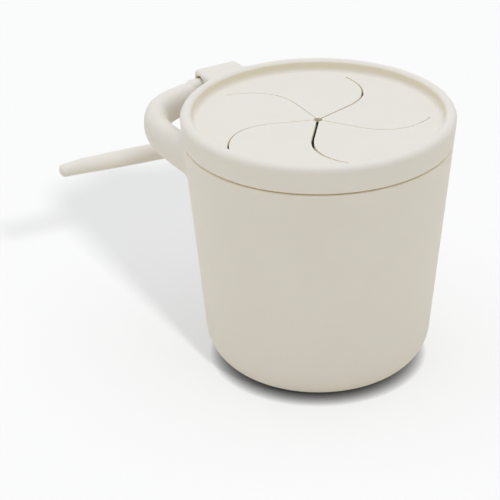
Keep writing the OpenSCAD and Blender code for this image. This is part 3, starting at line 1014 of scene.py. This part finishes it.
@dataclass
class CarryStrap:
    """The strap moulded to the cup: root, side run, corner, the neck in the loop, and the long thin tail.

    The root is what lies beside the wall within root_reach of the first root_stations. It spreads over the wall in a
    fillet, less where it is nearer than root_half to the strap's middle. It sinks root_sunk into the wall and stays
    under_lip below the mouth. The tail turns and rolls from the stations turn_from and roll_from on, over as many
    stations as turn_over and roll_over say.
    """

    cone: OuterCone
    frame: LoopFrame
    # Rings from one station to the next, and points round a ring
    rings: int = 12
    sides: int = 56
    cup_top: float = 78.7
    fillet: float = 1.7
    root_stations: int = 3
    root_reach: float = 12.0
    root_half: float = 4.5
    root_sunk: float = 0.7
    under_lip: float = 0.5
    strap: list[Station] = field(default_factory=lambda: [
        Station(-26.13, 32.8, 12.7, 14.4, 9.5),
        Station(-22.13, 34.6, 12.1, 12.9, 8.7),
        Station(-17.71, 35.9, 11.3, 11.9, 8.2),
        Station(-12.4, 37.5, 9.55, 11.3, 8.0),
        Station(-7.5, 37.3, 8.0, 10.8, 8.0),
        Station(-3.5, 35.0, 6.5, 10.7, 8.0),
        Station(-1.7, 31.3, 5.1, 10.7, 7.9),
        Station(-0.9, 24.68, 3.57, 9.9, 7.5),
        Station(-0.4, 21.2, 2.1, 7.9, 6.6, 2.0, 2.2),
        Station(0.0, 19.0, 0.7, 5.8, 5.2, 2.0, 2.1),
        Station(0.0, 16.2, 0.32, 4.4, 4.4, 2.0, 2.0),
        Station(0.0, 8.8, 0.3, 4.3, 4.3, 2.0, 2.0),
        Station(0.0, 1.6, 0.3, 4.5, 4.4, 2.0, 2.0),
    ])
    tail: list[Station] = field(default_factory=lambda: [
        Station(0.5, -3.0, 1.6, 5.1, 4.6, 2.0, 2.0),
        Station(1.4, -7.7, 5.6, 5.3, 4.8, 2.0, 2.0),
        Station(2.6, -10.4, 11.5, 5.5, 5.0, 2.0, 2.0),
        Station(3.6, -8.0, 17.8, 5.6, 5.2, 2.0, 2.0),
        Station(4.4, -1.2, 22.3, 5.9, 5.0, 2.0, 2.0),
        Station(5.0, 6.8, 23.8, 6.1, 4.6, 2.0, 2.0),
        Station(5.6, 17.8, 24.0, 6.3, 4.4, 2.0, 2.0),
        Station(6.0, 29.94, 23.5, 6.2, 4.3, 2.0, 2.0),
        Station(6.7, 45.4, 23.0, 6.0, 4.1, 2.0, 2.0),
        Station(7.8, 56.92, 22.9, 5.4, 3.9, 2.0, 2.0),
        Station(8.5, 63.9, 23.2, 4.5, 3.5, 2.0, 2.0),
    ])
    turn_from: float = 9.5
    turn_over: float = 2.0
    roll_from: float = 14.0
    roll_over: float = 3.0
    tail_roll: float = 56.0
    tip_length: float = 1.6

    def rail(self) -> dict[str, np.ndarray]:
        """The sweep's sections: place, side and up directions, height, thickness and squareness.

        Returns:
            One array for each name, with a row for each ring, in the cup's frame.
        """
        rows = np.array([s.row() for s in self.strap + self.tail])
        padded = np.vstack([2 * rows[0] - rows[1], rows, 2 * rows[-1] - rows[-2]])
        made = []
        for p, q, r, s in zip(padded, padded[1:], padded[2:], padded[3:]):
            for u in np.arange(self.rings) / self.rings:
                curve = 2 * q + (r - p) * u + (2 * p - 5 * q + 4 * r - s) * u * u + (3 * q - p - 3 * r + s) * u**3
                made.append(0.5 * curve)
        made.append(rows[-1])
        # The tip is rounded off as half an ellipse, in 8 rings
        last, heading = rows[-1], (rows[-1] - made[-3])[:3]
        heading = heading / np.linalg.norm(heading)
        for t in np.sin(np.radians(np.linspace(12, 90, 8))):
            size = math.sqrt(max(0.0, 1 - t * t))
            made.append(np.concatenate([last[:3] + heading * t * self.tip_length, last[3:5] * size, last[5:]]))
        full = np.array(made)
        centre = np.column_stack([self.frame.bore_x + full[:, 0], full[:, 1], self.frame.bore_z - full[:, 2]])
        ahead = np.gradient(centre, axis=0)
        ahead /= np.linalg.norm(ahead, axis=1)[:, None]
        # The strap stands upright, and past the loop the tail keeps its flat side towards the cup
        ring = np.arange(len(full))
        upright = np.cross(ahead, [0, 0, 1.0])
        outward = np.array([-1.0, 0, 0]) + ahead[:, :1] * ahead
        share = np.clip((ring - self.turn_from * self.rings) / (self.turn_over * self.rings), 0, 1)[:, None]
        side = (
            upright * (1 - share) / np.linalg.norm(upright, axis=1)[:, None]
            + outward * share / np.linalg.norm(outward, axis=1)[:, None]
        )
        side /= np.linalg.norm(side, axis=1)[:, None]
        across = np.cross(side, ahead)
        # Beyond its lowest point the tail rolls over, so that its broad face looks up and away from the cup
        late = np.clip((ring - self.roll_from * self.rings) / (self.roll_over * self.rings), 0, 1)
        roll = np.radians(self.tail_roll) * (late * late * (3 - 2 * late))[:, None]
        side, across = side * np.cos(roll) - across * np.sin(roll), across * np.cos(roll) + side * np.sin(roll)
        rail = {"place": self.frame.world(centre), "side": self.frame.world(side), "up": self.frame.world(across)}
        return rail | dict(zip(("high", "thick", "side_power", "up_power"), full[:, 3:].T))

    def root(self, points: np.ndarray, rail: dict[str, np.ndarray]) -> np.ndarray:
        """Spreads the strap's root over the cup's wall in a concave fillet, and sinks its end in the wall.

        Args:
            points: The swept mesh's points.
            rail: The sweep's sections.

        Returns:
            The points with the root formed.
        """
        made, cone = points.copy(), self.cone
        lean = math.radians(cone.taper)
        around = np.hypot(made[:, 0], made[:, 1])
        out = np.column_stack([
            made[:, 0] / around * math.cos(lean),
            made[:, 1] / around * math.cos(lean),
            np.full(len(made), -math.sin(lean)),
        ])
        gap = cone.gap(*made.T)
        centres = rail["place"][: self.root_stations * self.rings]
        reach = np.linalg.norm(made[:, None, :] - centres[None], axis=2)
        near = (gap < self.fillet) & (reach.min(1) < self.root_reach)
        spoke = made - centres[reach.argmin(1)]
        spoke -= (spoke * out).sum(1)[:, None] * out
        # The face that turns to the wall has no side to spread to, so it stays
        length = np.linalg.norm(spoke, axis=1)
        spoke *= (np.clip(length / self.root_half, 0, 1) / np.maximum(length, 1e-6))[:, None]
        down = np.clip(self.fillet - np.maximum(gap, 0), 0, self.fillet)
        spread = self.fillet - np.sqrt(np.maximum(self.fillet**2 - down**2, 0))
        made += np.where(near, spread, 0)[:, None] * spoke
        made[near, 2] = np.minimum(made[near, 2], self.cup_top - self.under_lip)
        gap = cone.gap(*made.T)
        sink = np.where(near & (gap < -self.root_sunk), -self.root_sunk - gap, 0)
        return made + sink[:, None] * out

    def build(self, tree: bpy.types.NodeTree, finish: bpy.types.Material) -> None:
        """Builds the strap and its tail in one sweep, and puts it in the place of their CAD solids.

        Args:
            tree: The swept band tree.
            finish: The strap's material.
        """
        rail = self.rail()
        count = len(rail["place"])
        strap = mesh_object("carry_strap_and_tail", rail["place"], [(i, i + 1) for i in range(count - 1)], [])
        for name in ("side", "up"):
            attribute(strap, name, "FLOAT_VECTOR", rail[name])
        for name in ("high", "thick"):
            attribute(strap, name, "FLOAT", rail[name] * MM)
        for name in ("side_power", "up_power"):
            attribute(strap, name, "FLOAT", rail[name])
        grow(strap, tree, {"Sides": self.sides, "Finish": finish})
        realise(strap)
        points = np.empty(len(strap.data.vertices) * 3)
        strap.data.vertices.foreach_get("co", points)
        formed = self.root(points.reshape(-1, 3) / MM, rail) * MM
        strap.data.vertices.foreach_set("co", formed.ravel())
        strap.data.update()
        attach(strap, Body.CUP.value)
        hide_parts("carry_strap", "strap_neck", "strap_tail")


@dataclass
class Studio:
    """A pale floor, an even white surround, one wide softbox overhead, and a sun that only the seen floor takes."""

    # The places of the camera and the softbox, and the softbox's side, are in metres, and roll is in radians
    backdrop: str = "#FBFBFB"
    floor: str = "#9D9D9C"
    glow: float = 0.452
    bounce: str = "#F8F3E6"
    bounce_z: float = -0.2
    floor_half: float = 4000.0
    # Reach in millimetres, power and samples of the painted contact shadow on the floor round the base
    painted_shadow_reach: float = 5.0
    painted_shadow_power: float = 1.2
    painted_shadow_samples: int = 8
    light: str = "#FAFBFF"
    surround_strength: tuple[float, float] = (0.40, 0.68)
    softbox_place: Place = (0.0, 0.0, 3.0)
    softbox_aim: Place = (0.0, 0.0, 0.05)
    softbox_size: float = 4.0
    softbox_power: float = 71.0
    sun_from: Place = (46.0, -109.0, 88.0)
    sun_power: float = 2.8
    sun_width: float = 6.0
    lens: float = 152.16
    eye: Place = (-0.022213, -0.612605, 0.357402)
    look: Place = (0.0, 0.886756, -0.462239)
    roll: float = -0.01564

    def camera(self) -> None:
        """Sets the camera that sees the cup as the photograph does."""
        lens = bpy.data.cameras.new("camera")
        lens.lens, lens.sensor_width, lens.sensor_fit = self.lens, 36.0, "HORIZONTAL"
        lens.clip_start, lens.clip_end = 0.01, 20.0
        eye = hang("camera", lens)
        forward = Vector(self.look)
        level, above = Vector((1.0, 0.0, 0.0)), Vector((0.0, -forward.z, forward.y))
        right = level * math.cos(self.roll) + above * math.sin(self.roll)
        up = above * math.cos(self.roll) - level * math.sin(self.roll)
        turn = Matrix((right, up, -forward)).transposed().to_4x4()
        eye.matrix_world = Matrix.Translation(self.eye) @ turn
        bpy.context.scene.camera = eye

    def lay(self, name: str, z: float, paint: bpy.types.Material, shade: bpy.types.NodeSocket) -> bpy.types.Object:
        """Lays one matte floor.

        Args:
            name: The floor's name.
            z: Its height.
            paint: Its material.
            shade: The socket that gives the material's shader.

        Returns:
            The floor.
        """
        half = self.floor_half
        corners = np.array([[-half, -half, z], [half, -half, z], [half, half, z], [-half, half, z]])
        made = mesh_object(name, corners, [], [(0, 1, 2, 3)])
        add_node(paint.node_tree, "ShaderNodeOutputMaterial", {"Surface": shade})
        made.data.materials.append(paint)
        return made

    def ground(self) -> bpy.types.Object:
        """Lays the floor twice: the one that lights the cup from below, and the one that the camera sees.

        Returns:
            The floor that the camera sees, which keeps the cup's shadow.
        """
        below = bare_material("Matte white sweep below")
        white = add_node(below.node_tree, "ShaderNodeBsdfDiffuse", {"Color": linear(self.bounce)}).outputs[0]
        self.lay("floor_bounce", self.bounce_z, below, white).visible_camera = False
        # An occlusion test darkens the floor's colour and its glow near the cup: a painted contact shadow round the
        # base's rounded edge. Part of the floor's white is a glow of its own
        sweep = bare_material("Matte white sweep")
        tree = sweep.node_tree
        reach = {"Distance": self.painted_shadow_reach * MM}
        close = add_node(tree, "ShaderNodeAmbientOcclusion", reach, samples=self.painted_shadow_samples).outputs["AO"]
        rim = add_node(tree, "ShaderNodeMath", {0: close, 1: self.painted_shadow_power}, operation="POWER").outputs[0]
        tones = {"Factor": rim, 6: linear("#000000"), 7: linear(self.floor)}
        shade = add_node(tree, "ShaderNodeMix", tones, data_type="RGBA").outputs[2]
        matte = add_node(tree, "ShaderNodeBsdfDiffuse", {"Color": shade}).outputs[0]
        own = add_node(tree, "ShaderNodeMath", {0: rim, 1: self.glow}, operation="MULTIPLY").outputs[0]
        glow = add_node(tree, "ShaderNodeEmission", {"Strength": own}).outputs[0]
        lit = add_node(tree, "ShaderNodeAddShader", {0: matte, 1: glow}).outputs[0]
        seen = self.lay("floor", 0.0, sweep, lit)
        seen.visible_diffuse = seen.visible_glossy = seen.visible_transmission = seen.visible_shadow = False
        return seen

    def key(self, floor: bpy.types.Object) -> None:
        """Lights the seen floor from the front right, with the cup's soft shadow falling behind it to the left.

        Args:
            floor: The one thing that the sun lights.
        """
        sun = bpy.data.lights.new("floor key", "SUN")
        sun.energy, sun.angle = self.sun_power, math.radians(self.sun_width)
        hung = hang("floor key", sun)
        hung.rotation_euler = (-Vector(self.sun_from)).to_track_quat("-Z", "Y").to_euler()
        lit = bpy.data.collections.new("lit by the key")
        lit.objects.link(floor)
        hung.light_linking.receiver_collection = lit

    def surround(self) -> None:
        """Lights the scene from a white surround, which rays from the camera see as the backdrop."""
        world = bpy.data.worlds.new("studio")
        bpy.context.scene.world = world
        world.use_nodes = True
        tree = world.node_tree
        tree.nodes.clear()
        path = add_node(tree, "ShaderNodeLightPath").outputs
        shown = path["Is Camera Ray"]
        for ray in ("Is Transmission Ray", "Is Glossy Ray"):
            shown = add_node(tree, "ShaderNodeMath", {0: shown, 1: path[ray]}, operation="MAXIMUM").outputs[0]
        # The surround is brighter to the left and right than in front and behind, as between two white walls
        way = add_node(tree, "ShaderNodeTexCoord").outputs["Generated"]
        across = add_node(tree, "ShaderNodeSeparateXYZ", {0: way}).outputs["X"]
        sideways = add_node(tree, "ShaderNodeMath", {0: across}, operation="ABSOLUTE").outputs[0]
        least, most = self.surround_strength
        strength = add_node(
            tree, "ShaderNodeMapRange", {"Value": sideways, "To Min": least, "To Max": most}
        ).outputs[0]
        light, back = (
            add_node(tree, "ShaderNodeBackground", {"Color": linear(colour), "Strength": level}).outputs[0]
            for colour, level in ((self.light, strength), (self.backdrop, 1.0))
        )
        both = add_node(tree, "ShaderNodeMixShader", {0: shown, 1: light, 2: back}).outputs[0]
        add_node(tree, "ShaderNodeOutputWorld", {"Surface": both})

    def softbox(self) -> None:
        """Hangs the square softbox that faces the cup."""
        box = bpy.data.lights.new("overhead softbox", "AREA")
        box.shape, box.size, box.energy = "SQUARE", self.softbox_size, self.softbox_power
        box.color = linear(self.light)[:3]
        hung = hang("overhead softbox", box)
        hung.location = self.softbox_place
        towards = Vector(self.softbox_aim) - Vector(self.softbox_place)
        hung.rotation_euler = towards.to_track_quat("-Z", "Y").to_euler()

    def build(self) -> None:
        """Sets up the camera, the floor and the lights."""
        self.camera()
        floor = self.ground()
        self.surround()
        self.softbox()
        self.key(floor)
        bpy.context.scene.view_settings.view_transform = "Standard"


def main() -> None:
    """Builds the studio, the cup, its lid and its strap."""
    logging.basicConfig(level=logging.INFO, format="%(message)s")
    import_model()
    Studio().build()
    cone, frame = OuterCone(), LoopFrame()
    walls, bands = turned_wall_tree(), swept_band_tree()
    CupShell(cone).build(walls, MouldedSilicone("Moulded silicone cup wall").material())
    lid_finish = MouldedSilicone("Moulded silicone lid").material()
    LidRim(cone).build(walls, lid_finish)
    Petals().build(lid_finish)
    LidLoop(cone, frame).build(lid_finish)
    CarryStrap(cone, frame).build(bands, MouldedSilicone("Moulded silicone strap").material())


if __name__ == "__main__":
    main()
